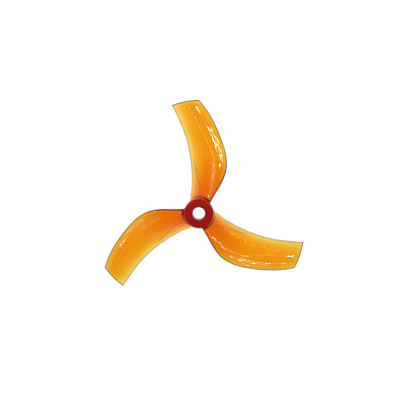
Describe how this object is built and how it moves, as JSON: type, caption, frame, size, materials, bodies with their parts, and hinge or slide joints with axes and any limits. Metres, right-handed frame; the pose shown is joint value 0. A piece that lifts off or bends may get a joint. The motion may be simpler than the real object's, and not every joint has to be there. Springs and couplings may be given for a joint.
{
  "type": "propeller",
  "caption": "Swept-blade propeller for a ducted drone, moulded in clear orange plastic, with a round hub bored for the motor shaft.",
  "frame": {"origin": "on the shaft axis at the hub's bottom face, where the propeller sits on the motor", "axes": "+Z along the shaft axis, out of the hub's top face, where the nut sits; +Y towards blade_1"},
  "size_m": [0.0822, 0.0764, 0.007],
  "materials": {
    "blade": "clear orange polycarbonate, polished by the mould, paler where it is thin",
    "root": "the same clear plastic where it thickens into the hub",
    "hub": "the same plastic, so thick that it looks deep red, with satin faces",
    "sleeve": "deep red, as the hub"
  },
  "bodies": {
    "root": {"hub_barrel": "hub", "bore_sleeve": "sleeve", "root_fillet_1": "root", "root_fillet_2": "root", "root_fillet_3": "root", "blade_1": "blade", "blade_2": "blade", "blade_3": "blade"}
  },
  "joints": []
}
